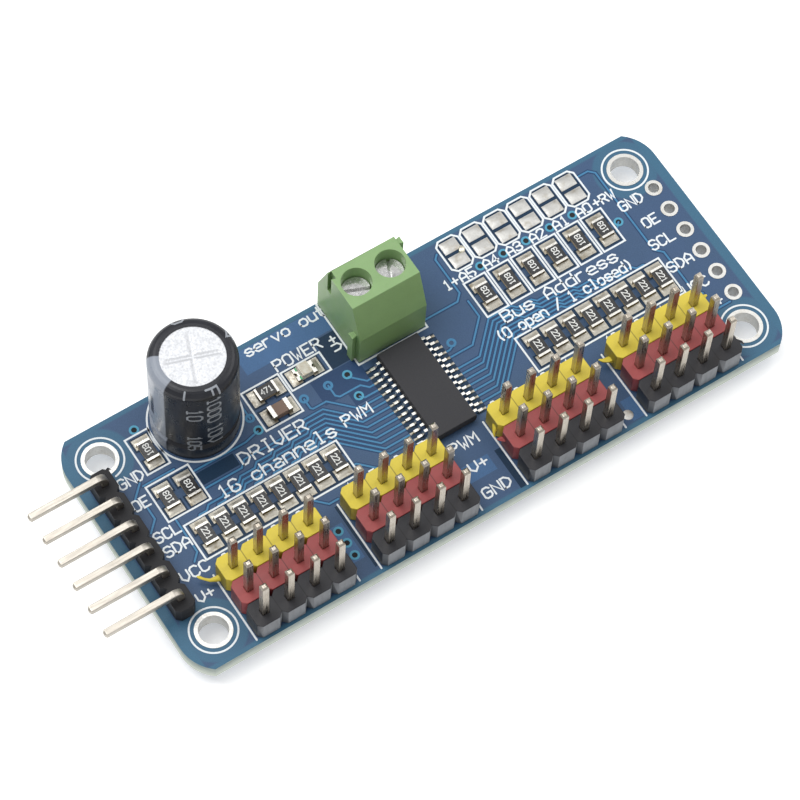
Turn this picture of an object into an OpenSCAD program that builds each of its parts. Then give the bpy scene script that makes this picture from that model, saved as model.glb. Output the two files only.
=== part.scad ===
// Sixteen-channel servo driver board: a circuit board with rows of header pins,
// a bent control header, a two-pole rising-clamp screw terminal, a reservoir
// capacitor and surface-mount parts.
// Millimetres, +Z up. The origin is the centre of the four mounting holes on the
// underside of the board. +X runs to the spare header holes, +Y to the terminal.

/* [Board] */
// Length of the board along X
board_length = 62.5; // [62:0.1:66]
// Width of the board along Y
board_width = 25.4; // [25.4:0.1:28]
// Thickness of the board
board_thickness = 1.6; // [1.2:0.1:2]
// Radius of the board's routed corners, which the long edges are then cut across
corner_radius = 4; // [3:0.1:5]
// Length of the straight part of each short edge
short_edge = 19.06; // [18:0.1:20]
// Distance between mounting holes along X
hole_spacing_x = 55.88; // [55:0.01:56]
// Distance between mounting holes along Y
hole_spacing_y = 19.05; // [18.8:0.01:19.2]
// Diameter of a mounting hole inside its plating
mount_hole_d = 2.7; // [2.5:0.1:2.8]

/* [Headers] */
// Distance between neighbouring header pins
pitch = 2.54; // [2.54:0.01:2.56]
// X of the first pin of the first servo header
servo_first_x = -23.85; // [-24.2:0.05:-23.6]
// Y of the ground row, the row nearest the board's edge
ground_row_y = -11.17; // [-11.3:0.01:-11]
// Side of a square header pin
pin_side = 0.64; // [0.5:0.02:0.66]
// Height of the servo pin tips above the board
pin_height = 7.6; // [6:0.1:9]
// Length of the pin tails under the board
tail_length = 1.4; // [1:0.1:2]
// Height of a servo header's plastic strip
strip_height = 2.4; // [2:0.1:2.6]
// Width of a servo header's plastic strip
strip_width = 2.5; // [2.2:0.05:2.5]
// X of the control header's pins
control_x = -29.2; // [-29.4:0.05:-29.1]
// Height of the control pins above the board
control_pin_z = 3.2; // [3:0.1:3.6]
// Reach of the control pins past the pin row
control_reach = 7.5; // [5:0.1:9]

/* [Screw terminal] */
// Distance between the terminal's two poles
pole_pitch = 3.5; // [3.5:0.01:3.6]
// Height of the terminal's housing
terminal_height = 8; // [8:0.1:9]
// Depth of the terminal's housing along Y
terminal_depth = 7; // [7:0.1:7.4]
// Diameter of the terminal's screws
screw_d = 1.92; // [1.85:0.01:1.98]
// Travel of a wire clamp from open to closed
clamp_travel = 1.3; // [0.8:0.05:1.3]

/* [Capacitor] */
// Diameter of the capacitor over its sleeve
capacitor_d = 8; // [6.3:0.1:8.2]
// Height of the capacitor above the board
capacitor_height = 12; // [11:0.1:14]

/* [Chips] */
// Length of the driver chip's body along Y
chip_length = 9.7; // [9.6:0.05:9.8]
// Width of the driver chip's body along X
chip_width = 4.4; // [4.3:0.05:4.5]
// Length of a chip resistor
chip_part_length = 2; // [1.8:0.05:2.1]
// Width of a chip resistor
chip_part_width = 1.25; // [1:0.05:1.3]

/* [Hidden] */
$fn = 64;
cut = 1; // how far a cutter runs past the faces it cuts
top = board_thickness;

// Servo headers: four groups of four columns, with a wider gap in the middle
group_count = 4;
columns = 4;
group_step = 5 * pitch;
middle_gap = pitch;
function group_x(g) = servo_first_x + g * group_step + (g > 1 ? middle_gap : 0);
power_row_y = ground_row_y + pitch;
signal_row_y = ground_row_y + 2 * pitch;
row_ys = [ground_row_y, power_row_y, signal_row_y];
notch = 0.42; // corner cut between the units of a strip
tip_bevel = 0.16;

// Control header and the matching empty holes at the other end
control_count = 6;
header_centre_y = 0.2;
spare_x = 29.1;
control_strip_width = 2;
control_strip_height = 2;
control_bend_r = 0.62; // bend radius at the middle of the pin
function control_y(i) = header_centre_y + (i - (control_count - 1) / 2) * pitch;

// Plated holes
plating = 0.05;
mount_pad_d = 3.4;
pin_hole_d = 1.02; // inside the plating
pin_pad_d = 1.62;
joint_height = 0.95; // solder joint on a pin, below its pad
contact_joint_height = 0.85;
lead_joint_height = 0.8;
lead_hole_d = 0.8;
lead_pad_d = 1.6;
contact_hole_d = 1.3;
contact_pad_d = 2.1;

// Screw terminal, measured from its own origin on the board below its middle
terminal_y = 9.1;
terminal_width = 2 * pole_pitch;
front_y = -terminal_depth / 2;
back_y = terminal_depth / 2;
shoulder_z = terminal_height / 2 + 0.1;
top_inset = 1.4; // how far the top face is set in from front and back
well_r = 1.4;
head_r = 1.3;
head_z = 5.35; // underside of a screw's head
head_height = 1.15;
shoulder_gap = 0.05;
shank_end_z = 2.9;
shank_hole_r = 1.1;
slot_width = 0.34;
slot_depth = 0.5;
slot_turn = [-22, 65]; // how far each screw is turned at rest
clamp_bore_r = 1; // the thread's size, taken as a plain bore
clamp_width = 2.5;
clamp_depth = 3;
clamp_base_z = 0.6;
clamp_floor = 0.4;
clamp_window = 1.9;
clamp_roof = 0.6;
clamp_window_width = 1.8;
clamp_height = clamp_floor + clamp_window + clamp_roof;
cell_gap = 0.1; // space around a clamp in its cell
entry_width = 2.3;
entry_z0 = 0.95;
entry_z1 = 3.05;
contact_width = 1.5;
contact_z = 2.4; // underside of a contact's plate
contact_plate = 0.4;
contact_front_y = -2.7;
contact_back_y = 1.4;
contact_leg_width = 1;
contact_leg_depth = 0.5;
contact_leg_y = contact_front_y + contact_leg_depth / 2;
contact_tail = 1.3;
rib_root = 0.5; // the joining ribs and slots on the housing's sides
rib_tip = 0.76;
rib_out = 0.5;
rib_front_y = front_y + 0.85;
rib_back_y = back_y - 1.85;
rib_front_top = 4.3;
rib_back_top = 7.7;
rib_slot_depth = 0.42;
rib_slot_room = 0.04; // how much wider a slot is than a rib, on each side
rib_slot_over = 0.2; // how much longer the front slot is than the front rib
back_slot_z = 5.2;
function pole_x(p) = (p - 0.5) * pole_pitch;

// Capacitor
capacitor_x = -18.75;
capacitor_y = 8.6;
sleeve = 0.12;
can_wall = 0.3;
can_r = capacitor_d / 2 - sleeve;
can_top = capacitor_height - 0.08;
rim_r = 0.7; // rounding of the can's top edge
sleeve_opening_r = 2.9;
groove_z = 2.3;
groove_half = 0.45;
groove_depth = 0.28;
foot_gap = 0.15; // space between the can and the board
seal_z = 0.5; // underside of the rubber seal above the board
seal_height = 1.85;
winding_r = can_r - can_wall - 0.15;
winding_z = groove_z + groove_half + 0.3;
winding_top_gap = 0.2;
lead_spacing = 3.5;
lead_d = 0.6;
lead_tail = 1.2;

// Driver chip: gull-wing leads along both long sides
chip_x = 0.1;
chip_y = 0.15;
chip_lift = 0.1;
chip_height = 1;
chip_draft = 0.1;
lead_count = 14;
lead_pitch = 0.65;
lead_width = 0.24;
lead_thickness = 0.15;
lead_span = 3.2; // chip centre to lead tip
lead_knee = 0.28; // body side to where a lead turns down
lead_foot = 0.5; // body side to where its foot begins
lead_pad_length = 0.95;
lead_pad_overhang = 0.4; // pad past the lead's tip

// Surface pads and the parts that sit on them
pad = 0.05;
end_wrap = 0.4;
end_skin = 0.03;
resistor_height = 0.5;
resistor_pad = [1.6, 1.05];
resistor_pad_centre = 1.12;
row_step = 1.905;
output_count = 8; // resistors in each half of the row
output_y = -1.62;
output_first_x = [-23.78, 10.97];
address_count = 6; // address bits, each with a resistor and a jumper
address_first_x = 9.93;
address_y = 5.4;
pullup_at = [[-23.97, 7.95], [-24.82, 3.08], [-22.68, 3.08]];
led_resistor_at = [-12.08, 7.42];
bypass_at = [-12.05, 5.22];
led_at = [-8.12, 7.38];
bypass_height = 0.8;
led_base = 0.32; // height of the light's base
led_top = 0.8; // height of the clear block's top
led_end = 0.38;
led_end_notch_r = 0.22;
led_lens_length = 1.24;
led_lens_slope = 0.12;
jumper_first_x = 9.87;
jumper_rows_y = [9.65, 11.28];
jumper_pad = [1.7, 1.3];

// Repeats its children along X, one for each step
module along_x(count, step) {
    for (i = [0 : count - 1]) translate([i * step, 0, 0]) children();
}

// Places its children at every pin of one servo row, or of all three
module at_servo_row(y) {
    for (g = [0 : group_count - 1])
        translate([group_x(g), y, 0]) along_x(columns, pitch) children();
}

module at_servo_pins() {
    for (y = row_ys) at_servo_row(y) children();
}

module at_control_pins(x) {
    for (i = [0 : control_count - 1]) translate([x, control_y(i), 0]) children();
}

module at_mount_holes() {
    for (sx = [-1, 1], sy = [-1, 1])
        translate([sx * hole_spacing_x / 2, sy * hole_spacing_y / 2, 0]) children();
}

module at_contact_legs() {
    for (p = [0, 1]) translate([pole_x(p), terminal_y + contact_leg_y, 0]) children();
}

module at_capacitor_leads() {
    for (s = [-1, 1]) translate([capacitor_x + s * lead_spacing / 2, capacitor_y, 0]) children();
}

module through_hole(d) {
    translate([0, 0, -cut]) cylinder(h = board_thickness + 2 * cut, d = d);
}

// A plated hole: a thin barrel with a flange on each face of the board
module plated_hole(bore_d, pad_d) {
    rotate_extrude() polygon([
        [bore_d / 2, -plating], [pad_d / 2, -plating], [pad_d / 2, 0],
        [bore_d / 2 + plating, 0], [bore_d / 2 + plating, board_thickness],
        [pad_d / 2, board_thickness], [pad_d / 2, board_thickness + plating],
        [bore_d / 2, board_thickness + plating]
    ]);
}

module board_outline() {
    x = board_length / 2 - corner_radius;
    intersection() {
        square([board_length, board_width], center = true);
        union() {
            square([2 * x, board_width], center = true);
            square([board_length, short_edge], center = true);
            for (sx = [-1, 1], sy = [-1, 1])
                translate([sx * x, sy * short_edge / 2]) circle(corner_radius);
        }
    }
}

module board() {
    color([0.13, 0.27, 0.45]) difference() {
        linear_extrude(board_thickness) board_outline();
        at_mount_holes() through_hole(mount_hole_d + 2 * plating);
        at_servo_pins() through_hole(pin_hole_d + 2 * plating);
        at_control_pins(control_x) through_hole(pin_hole_d + 2 * plating);
        at_control_pins(spare_x) through_hole(pin_hole_d + 2 * plating);
        at_contact_legs() through_hole(contact_hole_d + 2 * plating);
        at_capacitor_leads() through_hole(lead_hole_d + 2 * plating);
    }
}

module hole_plating() {
    color([0.75, 0.75, 0.73]) at_mount_holes() plated_hole(mount_hole_d, mount_pad_d);
}

module spare_hole_plating() {
    color([0.8, 0.8, 0.78]) at_control_pins(spare_x) plated_hole(pin_hole_d, pin_pad_d);
}

module pin_hole_plating() {
    color([0.8, 0.8, 0.78]) {
        at_servo_pins() plated_hole(pin_hole_d, pin_pad_d);
        at_control_pins(control_x) plated_hole(pin_hole_d, pin_pad_d);
        at_contact_legs() plated_hole(contact_hole_d, contact_pad_d);
        at_capacitor_leads() plated_hole(lead_hole_d, lead_pad_d);
    }
}

// One unit of a header strip seen from above: a square with its corners cut
module strip_unit_outline(width) {
    h = pitch / 2;
    w = width / 2;
    polygon([
        [-h, -w + notch], [-h + notch, -w], [h - notch, -w], [h, -w + notch],
        [h, w - notch], [h - notch, w], [-h + notch, w], [-h, w - notch]
    ]);
}

// A header strip of count units along X, with a square hole for each pin
module header_strip(count, width, height) {
    translate([0, 0, top]) linear_extrude(height) difference() {
        along_x(count, pitch) strip_unit_outline(width);
        along_x(count, pitch) square(pin_side, center = true);
    }
}

module servo_strip(g, y) {
    translate([group_x(g), y, plating]) header_strip(columns, strip_width, strip_height - plating);
}

module signal_strip(g) {
    color([0.95, 0.82, 0.1]) servo_strip(g, signal_row_y);
}

module power_strip(g) {
    color([0.72, 0.16, 0.17]) servo_strip(g, power_row_y);
}

module ground_strip(g) {
    color([0.14, 0.14, 0.16]) servo_strip(g, ground_row_y);
}

// A square pin along Z with all four edges bevelled at both ends
module straight_pin(z0, z1) {
    s = pin_side / 2;
    b = tip_bevel;
    profile = [
        [-s, z0 + b], [-s + b, z0], [s - b, z0], [s, z0 + b],
        [s, z1 - b], [s - b, z1], [-s + b, z1], [-s, z1 - b]
    ];
    intersection() {
        rotate([90, 0, 0]) linear_extrude(pin_side, center = true) polygon(profile);
        rotate([90, 0, 90]) linear_extrude(pin_side, center = true) polygon(profile);
    }
}

module servo_pin() {
    straight_pin(-tail_length, top + pin_height);
}

module signal_pins() {
    color([0.8, 0.77, 0.7]) at_servo_row(signal_row_y) servo_pin();
}

module power_pins() {
    color([0.8, 0.77, 0.7]) at_servo_row(power_row_y) servo_pin();
}

module ground_pins() {
    color([0.8, 0.77, 0.7]) at_servo_row(ground_row_y) servo_pin();
}

module control_strip() {
    color([0.12, 0.12, 0.13]) translate([control_x, control_y(0), plating]) rotate([0, 0, 90])
        header_strip(control_count, control_strip_width, control_strip_height - plating);
}

// A pin that rises through the board and bends outward over its edge
module control_pin() {
    z = top + control_pin_z;
    bend_z = z - control_bend_r;
    reach = control_reach - control_bend_r;
    b = tip_bevel;
    s = pin_side / 2;
    intersection() {
        translate([0, 0, -tail_length]) linear_extrude(bend_z + tail_length)
            square(pin_side, center = true);
        straight_pin(-tail_length, z + pin_side);
    }
    translate([-control_bend_r, 0, bend_z]) rotate([90, 0, 0])
        rotate_extrude(angle = 90) translate([control_bend_r, 0]) square(pin_side, center = true);
    translate([-control_bend_r, 0, z]) rotate([0, -90, 0]) intersection() {
        translate([0, 0, reach / 2]) cube([pin_side, pin_side, reach], center = true);
        straight_pin(-2 * b, reach);
    }
}

module control_pins() {
    color([0.85, 0.83, 0.78]) at_control_pins(control_x) control_pin();
}

// A solder joint under the board: a cone around a tail of the given section
module solder_joint(base_d, height, tail) {
    difference() {
        translate([0, 0, -plating - height])
            cylinder(h = height, d1 = base_d / 2, d2 = base_d);
        cube([tail[0], tail[1], 4 * height], center = true);
    }
}

module servo_solder() {
    color([0.72, 0.73, 0.75]) at_servo_pins()
        solder_joint(pin_pad_d, joint_height, [pin_side, pin_side]);
}

module control_solder() {
    color([0.72, 0.73, 0.75]) at_control_pins(control_x)
        solder_joint(pin_pad_d, joint_height, [pin_side, pin_side]);
}

module terminal_solder() {
    color([0.72, 0.73, 0.75]) at_contact_legs()
        solder_joint(contact_pad_d, contact_joint_height, [contact_leg_width, contact_leg_depth]);
}

module capacitor_solder() {
    color([0.72, 0.73, 0.75]) at_capacitor_leads() difference() {
        solder_joint(lead_pad_d, lead_joint_height, [lead_d / 2, lead_d / 2]);
        cylinder(h = 4 * lead_joint_height, d = lead_d, center = true);
    }
}

// These place a chip part, drawn along Y with its underside at Z 0, on its pads
module at_output_resistors() {
    for (x = output_first_x)
        translate([x, output_y, top + pad]) along_x(output_count, row_step) children();
}

module at_address_resistors() {
    translate([address_first_x, address_y, top + pad]) along_x(address_count, pitch) children();
}

module at_pullup_resistors() {
    for (p = pullup_at) translate([p[0], p[1], top + pad]) children();
}

module lying_along_x(p) {
    translate([p[0], p[1], top + pad]) rotate([0, 0, 90]) children();
}

// The ceramic body of a chip part, lying along Y
module chip_part_body(height) {
    s = end_skin;
    translate([-chip_part_width / 2 + s, -chip_part_length / 2 + s, s])
        cube([chip_part_width - 2 * s, chip_part_length - 2 * s, height - 2 * s]);
}

// The two metal ends wrapped around a chip part's body
module chip_part_ends(height) {
    for (side = [-1, 1]) difference() {
        translate([-chip_part_width / 2, side * (chip_part_length - end_wrap) / 2 - end_wrap / 2, 0])
            cube([chip_part_width, end_wrap, height]);
        chip_part_body(height);
    }
}

module two_pads() {
    for (side = [-1, 1])
        translate([-resistor_pad[0] / 2, side * resistor_pad_centre - resistor_pad[1] / 2, -pad])
            cube([resistor_pad[0], resistor_pad[1], pad]);
}

module surface_pads() {
    color([0.78, 0.76, 0.68]) {
        at_output_resistors() two_pads();
        at_address_resistors() two_pads();
        at_pullup_resistors() two_pads();
        lying_along_x(led_resistor_at) two_pads();
        lying_along_x(bypass_at) two_pads();
        lying_along_x(led_at) two_pads();
        at_chip_leads()
            translate([lead_span + lead_pad_overhang - lead_pad_length, -lead_width / 2, top])
                cube([lead_pad_length, lead_width, pad]);
    }
}

module jumper_pads() {
    color([0.8, 0.8, 0.8]) for (y = jumper_rows_y)
        translate([jumper_first_x - jumper_pad[0] / 2, y - jumper_pad[1] / 2, top])
            along_x(address_count, pitch) cube([jumper_pad[0], jumper_pad[1], pad]);
}

module output_resistors() {
    color([0.1, 0.1, 0.1]) at_output_resistors() chip_part_body(resistor_height);
}

module output_resistor_ends() {
    color([0.85, 0.85, 0.83]) at_output_resistors() chip_part_ends(resistor_height);
}

module address_resistors() {
    color([0.1, 0.1, 0.1]) at_address_resistors() chip_part_body(resistor_height);
}

module address_resistor_ends() {
    color([0.85, 0.85, 0.83]) at_address_resistors() chip_part_ends(resistor_height);
}

module pullup_resistors() {
    color([0.1, 0.1, 0.1]) at_pullup_resistors() chip_part_body(resistor_height);
}

module pullup_resistor_ends() {
    color([0.85, 0.85, 0.83]) at_pullup_resistors() chip_part_ends(resistor_height);
}

module led_resistor() {
    color([0.1, 0.1, 0.1]) lying_along_x(led_resistor_at) chip_part_body(resistor_height);
}

module led_resistor_ends() {
    color([0.85, 0.85, 0.83]) lying_along_x(led_resistor_at) chip_part_ends(resistor_height);
}

module bypass_capacitor() {
    color([0.42, 0.33, 0.3]) lying_along_x(bypass_at) chip_part_body(bypass_height);
}

module bypass_capacitor_ends() {
    color([0.85, 0.85, 0.83]) lying_along_x(bypass_at) chip_part_ends(bypass_height);
}

// The power light is a thin base with metal ends, and a clear block on top of it
module led_body() {
    color([0.86, 0.85, 0.8]) lying_along_x(led_at)
        translate([-chip_part_width / 2, -chip_part_length / 2 + led_end, 0])
            cube([chip_part_width, chip_part_length - 2 * led_end, led_base]);
}

module led_lens() {
    low = led_lens_length / 2;
    high = low - led_lens_slope;
    color([0.9, 0.9, 0.84]) lying_along_x(led_at) rotate([90, 0, 90])
        linear_extrude(chip_part_width, center = true)
            polygon([[-low, led_base], [low, led_base], [high, led_top], [-high, led_top]]);
}

module led_ends() {
    color([0.85, 0.83, 0.75]) lying_along_x(led_at) for (side = [-1, 1]) difference() {
        translate([-chip_part_width / 2, side * (chip_part_length - led_end) / 2 - led_end / 2, 0])
            cube([chip_part_width, led_end, led_base]);
        translate([0, side * chip_part_length / 2, -cut]) cylinder(h = 2 * cut, r = led_end_notch_r);
    }
}

// Runs its children at every lead, turned so that +X points away from the chip
module at_chip_leads() {
    for (side = [0, 180], i = [0 : lead_count - 1])
        translate([chip_x, chip_y, 0]) rotate([0, 0, side])
            translate([0, (i - (lead_count - 1) / 2) * lead_pitch, 0]) children();
}

module chip_body() {
    w = chip_width / 2;
    d = chip_draft;
    z0 = top + pad + chip_lift;
    profile = [
        [-w + d, 0], [w - d, 0], [w, chip_height / 2], [w - d, chip_height],
        [-w + d, chip_height], [-w, chip_height / 2]
    ];
    color([0.14, 0.14, 0.15]) translate([chip_x, chip_y, z0]) rotate([90, 0, 0])
        linear_extrude(chip_length, center = true) polygon(profile);
}

module chip_lead() {
    w = chip_width / 2;
    t = lead_thickness;
    high = chip_lift + chip_height / 2;
    knee = w + lead_knee;
    foot = w + lead_foot;
    profile = [
        [w, high - t / 2], [knee, high - t / 2], [foot - t / 2, 0], [lead_span, 0],
        [lead_span, t], [foot + t / 2, t], [knee + t / 2, high + t / 2], [w, high + t / 2]
    ];
    translate([0, 0, top + pad]) rotate([90, 0, 0])
        linear_extrude(lead_width, center = true) polygon(profile);
}

module chip_leads() {
    color([0.88, 0.87, 0.82]) at_chip_leads() chip_lead();
}

module at_capacitor() {
    translate([capacitor_x, capacitor_y, top]) children();
}

// Rounded top corner of a turned profile, from the side wall to the flat top
function corner_arc(r, z, round_r) =
    [for (a = [0 : 15 : 90]) [r - round_r + round_r * cos(a), z - round_r + round_r * sin(a)]];

// Side wall of the can from its foot to its top, with the pressed-in groove
function can_side(r) = [
    [r, foot_gap], [r, groove_z - groove_half],
    [r - groove_depth, groove_z - groove_half / 3],
    [r - groove_depth, groove_z + groove_half / 3],
    [r, groove_z + groove_half]
];

module capacitor_can() {
    inner = can_r - can_wall;
    deep = inner - groove_depth;
    color([0.85, 0.86, 0.87]) at_capacitor() rotate_extrude() polygon(concat(
        can_side(can_r), corner_arc(can_r, can_top, rim_r),
        [[0, can_top], [0, can_top - can_wall], [inner, can_top - can_wall],
        [inner, groove_z + groove_half], [deep, groove_z + groove_half / 3],
        [deep, groove_z - groove_half / 3], [inner, groove_z - groove_half],
        [inner, foot_gap]]
    ));
}

module capacitor_sleeve() {
    r = capacitor_d / 2;
    color([0.11, 0.12, 0.15]) at_capacitor() rotate_extrude() polygon(concat(
        can_side(r), corner_arc(r, capacitor_height, rim_r + sleeve),
        [[sleeve_opening_r, capacitor_height], [sleeve_opening_r, can_top]],
        [for (i = [6 : -1 : 0]) corner_arc(can_r, can_top, rim_r)[i]],
        [for (i = [4 : -1 : 0]) can_side(can_r)[i]]
    ));
}

module capacitor_seal() {
    r = can_r - can_wall - groove_depth;
    color([0.12, 0.12, 0.12]) at_capacitor() difference() {
        translate([0, 0, seal_z]) cylinder(h = seal_height, r = r);
        for (s = [-1, 1]) translate([s * lead_spacing / 2, 0, 0])
            cylinder(h = seal_z + seal_height + cut, d = lead_d);
    }
}

module capacitor_winding() {
    color([0.75, 0.72, 0.62]) at_capacitor() translate([0, 0, winding_z])
        cylinder(h = can_top - can_wall - winding_z - winding_top_gap, r = winding_r);
}

module capacitor_leads() {
    color([0.82, 0.82, 0.8]) at_capacitor_leads() translate([0, 0, -lead_tail])
        cylinder(h = top + winding_z + lead_tail, d = lead_d);
}

module at_terminal() {
    translate([0, terminal_y, top]) children();
}

module at_pole(p) {
    at_terminal() translate([pole_x(p), 0, 0]) children();
}

// Runs a side view of the terminal, drawn as Y and Z, along X
module side_view(width) {
    rotate([90, 0, 90]) linear_extrude(width, center = true) children();
}

module terminal_side() {
    polygon([
        [front_y, 0], [front_y, shoulder_z], [front_y + top_inset, terminal_height],
        [back_y - top_inset, terminal_height], [back_y, shoulder_z], [back_y, 0]
    ]);
}

// A dovetail rib that runs up the housing's side, or with out negative a slot's cutter.
// side is -1 or 1, and grow widens it all round.
module dovetail(side, y, z0, z1, out, grow) {
    x = side * terminal_width / 2;
    r = rib_root / 2 + grow;
    t = rib_tip / 2 + grow;
    translate([x, y, z0]) linear_extrude(z1 - z0)
        polygon([[0, -r], [side * out, -t], [side * out, t], [0, r]]);
}

// The space inside the housing for one pole's clamp, screw, contact and wire
module pole_space() {
    w = clamp_width + 2 * cell_gap;
    d = clamp_depth + 2 * cell_gap;
    z0 = clamp_base_z - cell_gap;
    z1 = clamp_base_z + clamp_height + clamp_travel + cell_gap;
    translate([-w / 2, -d / 2, z0]) cube([w, d, z1 - z0]);
    translate([-entry_width / 2, 0, entry_z0]) cube([entry_width, back_y + cut, entry_z1 - entry_z0]);
    translate([0, 0, z0]) cylinder(h = terminal_height, r = shank_hole_r);
    translate([0, 0, head_z - shoulder_gap]) cylinder(h = terminal_height, r = well_r);
    translate([-contact_width / 2, contact_front_y, contact_z])
        cube([contact_width, -contact_front_y, contact_plate]);
    translate([-contact_leg_width / 2, contact_front_y, -cut])
        cube([contact_leg_width, contact_leg_depth, contact_z + cut + contact_plate / 2]);
}

module terminal_housing() {
    color([0.45, 0.66, 0.38]) at_terminal() difference() {
        union() {
            side_view(terminal_width) terminal_side();
            dovetail(-1, rib_front_y, plating, rib_front_top, rib_out, 0);
            dovetail(1, rib_back_y, plating, rib_back_top, rib_out, 0);
        }
        for (p = [0, 1]) translate([pole_x(p), 0, 0]) pole_space();
        dovetail(-1, rib_back_y, back_slot_z, terminal_height + cut, -rib_slot_depth, rib_slot_room);
        dovetail(1, rib_front_y, -cut, rib_front_top + rib_slot_over, -rib_slot_depth, rib_slot_room);
        translate([-terminal_width, front_y - cut, -cut])
            cube([2 * terminal_width, terminal_depth + 2 * cut, cut + plating]);
    }
}

module terminal_screw(p) {
    color([0.8, 0.8, 0.8]) at_pole(p) rotate([0, 0, slot_turn[p]]) difference() {
        union() {
            translate([0, 0, head_z]) cylinder(h = head_height, r = head_r);
            translate([0, 0, shank_end_z]) cylinder(h = head_z - shank_end_z, d = screw_d);
        }
        translate([0, 0, head_z + head_height - slot_depth / 2 + cut / 2])
            cube([4 * head_r, slot_width, slot_depth + cut], center = true);
    }
}

module terminal_clamp(p) {
    color([0.72, 0.72, 0.7]) at_pole(p) difference() {
        translate([-clamp_width / 2, -clamp_depth / 2, clamp_base_z])
            cube([clamp_width, clamp_depth, clamp_height]);
        translate([-clamp_window_width / 2, -clamp_depth, clamp_base_z + clamp_floor])
            cube([clamp_window_width, 2 * clamp_depth, clamp_window]);
        translate([0, 0, clamp_base_z + clamp_floor])
            cylinder(h = clamp_height, r = clamp_bore_r);
    }
}

module terminal_contact(p) {
    leg_bottom = -top - contact_tail;
    color([0.82, 0.8, 0.72]) at_pole(p) {
        translate([-contact_width / 2, contact_front_y, contact_z])
            cube([contact_width, contact_back_y - contact_front_y, contact_plate]);
        translate([-contact_leg_width / 2, contact_front_y, leg_bottom])
            cube([contact_leg_width, contact_leg_depth, contact_z - leg_bottom]);
    }
}

board();
hole_plating();
spare_hole_plating();
pin_hole_plating();
surface_pads();
jumper_pads();
signal_strip(0);  // signal_strip_1
signal_strip(1);  // signal_strip_2
signal_strip(2);  // signal_strip_3
signal_strip(3);  // signal_strip_4
power_strip(0);  // power_strip_1
power_strip(1);  // power_strip_2
power_strip(2);  // power_strip_3
power_strip(3);  // power_strip_4
ground_strip(0);  // ground_strip_1
ground_strip(1);  // ground_strip_2
ground_strip(2);  // ground_strip_3
ground_strip(3);  // ground_strip_4
signal_pins();
power_pins();
ground_pins();
control_strip();
control_pins();
servo_solder();
control_solder();
terminal_solder();
capacitor_solder();
chip_body();
chip_leads();
capacitor_can();
capacitor_sleeve();
capacitor_seal();
capacitor_winding();
capacitor_leads();
terminal_housing();
terminal_screw(0);  // terminal_screw_1
terminal_screw(1);  // terminal_screw_2
terminal_clamp(0);  // terminal_clamp_1
terminal_clamp(1);  // terminal_clamp_2
terminal_contact(0);  // terminal_contact_1
terminal_contact(1);  // terminal_contact_2
led_body();
led_lens();
led_ends();
output_resistors();
output_resistor_ends();
address_resistors();
address_resistor_ends();
pullup_resistors();
pullup_resistor_ends();
led_resistor();
led_resistor_ends();
bypass_capacitor();
bypass_capacitor_ends();
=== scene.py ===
"""Looks of the servo driver board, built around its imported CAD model. Lengths are in metres."""
import math
import random

import bmesh
import bpy
from mathutils import Matrix, Vector


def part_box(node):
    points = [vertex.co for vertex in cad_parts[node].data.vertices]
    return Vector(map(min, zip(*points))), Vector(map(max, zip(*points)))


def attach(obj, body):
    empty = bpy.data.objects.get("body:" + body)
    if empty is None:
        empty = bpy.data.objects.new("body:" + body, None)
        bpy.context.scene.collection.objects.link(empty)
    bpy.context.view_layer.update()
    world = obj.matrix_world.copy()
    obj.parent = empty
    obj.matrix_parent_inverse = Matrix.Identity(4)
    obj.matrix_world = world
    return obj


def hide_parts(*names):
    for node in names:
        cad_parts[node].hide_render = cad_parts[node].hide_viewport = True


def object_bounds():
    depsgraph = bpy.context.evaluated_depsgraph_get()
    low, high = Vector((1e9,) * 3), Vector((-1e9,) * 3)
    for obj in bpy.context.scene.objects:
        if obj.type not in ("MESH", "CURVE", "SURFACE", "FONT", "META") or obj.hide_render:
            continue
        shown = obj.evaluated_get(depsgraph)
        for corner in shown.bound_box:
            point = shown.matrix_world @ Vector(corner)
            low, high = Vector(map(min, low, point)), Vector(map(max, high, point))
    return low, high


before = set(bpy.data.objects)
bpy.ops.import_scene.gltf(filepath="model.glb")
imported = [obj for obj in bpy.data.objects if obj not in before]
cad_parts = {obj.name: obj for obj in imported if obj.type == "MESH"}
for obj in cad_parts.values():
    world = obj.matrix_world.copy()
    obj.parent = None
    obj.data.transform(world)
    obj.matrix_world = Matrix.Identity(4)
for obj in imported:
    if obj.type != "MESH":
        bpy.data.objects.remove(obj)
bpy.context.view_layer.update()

MM = 0.001
draw = random.Random(7)

board_lo, board_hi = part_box("board")
TOP = board_hi.z
BOTTOM = board_lo.z


def around(points):
    """The lowest and highest corner of a set of points."""
    return tuple(Vector([pick(p[i] for p in points) for i in range(3)]) for pick in (min, max))


def solids(node):
    """(lowest corner, highest corner) of each separate solid in a CAD node, by X and then Y."""
    bm = bmesh.new()
    bm.from_mesh(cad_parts[node].data)
    bmesh.ops.remove_doubles(bm, verts=bm.verts, dist=1e-7)
    left, found = set(bm.verts), []
    while left:
        waiting, reached = [left.pop()], []
        while waiting:
            v = waiting.pop()
            reached.append(v.co.copy())
            near = {edge.other_vert(v) for edge in v.link_edges} & left
            left -= near
            waiting += near
        found.append(around(reached))
    bm.free()
    return sorted(found, key=lambda b: (round(b[0].x, 5), b[0].y))


def middle(box):
    return (box[0] + box[1]) / 2


signal_pin_x = [middle(b).x for b in solids("signal_pins")]


# Materials


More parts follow.
